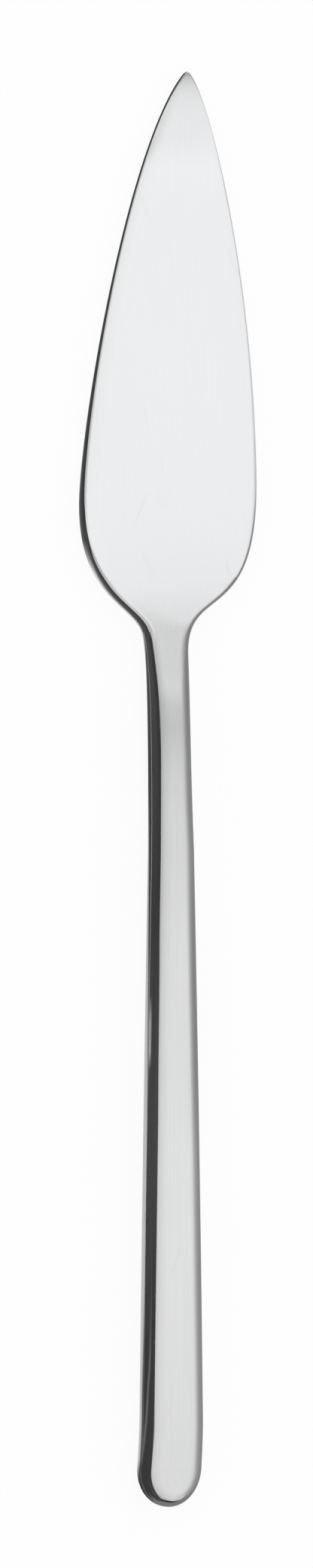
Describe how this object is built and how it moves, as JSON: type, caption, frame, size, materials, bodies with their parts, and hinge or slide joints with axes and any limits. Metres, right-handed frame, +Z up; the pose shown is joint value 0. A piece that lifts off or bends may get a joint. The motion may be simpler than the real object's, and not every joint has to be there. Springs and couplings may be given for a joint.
{
  "type": "fish knife",
  "caption": "Slim polished fish knife: flat spear-shaped blade with blunt rounded edges, narrow neck and a hollow brazed handle that widens to a round butt.",
  "frame": {"origin": "middle of the overall length and width, on the table plane that the knife lies on", "axes": "+Y along the knife towards the blade's tip, +Z up out of the table, +X towards the blade's straighter back edge"},
  "size_m": [0.0274, 0.21, 0.0061],
  "materials": {
    "blade_steel": "polished",
    "shell_steel": "polished",
    "braze_alloy": "satin",
    "filling_cement": "matte"
  },
  "bodies": {
    "root": {"blade": "blade_steel", "upper_shell": "shell_steel", "lower_shell": "shell_steel", "side_braze": "braze_alloy", "neck_braze": "braze_alloy", "handle_filling": "filling_cement"}
  },
  "joints": []
}
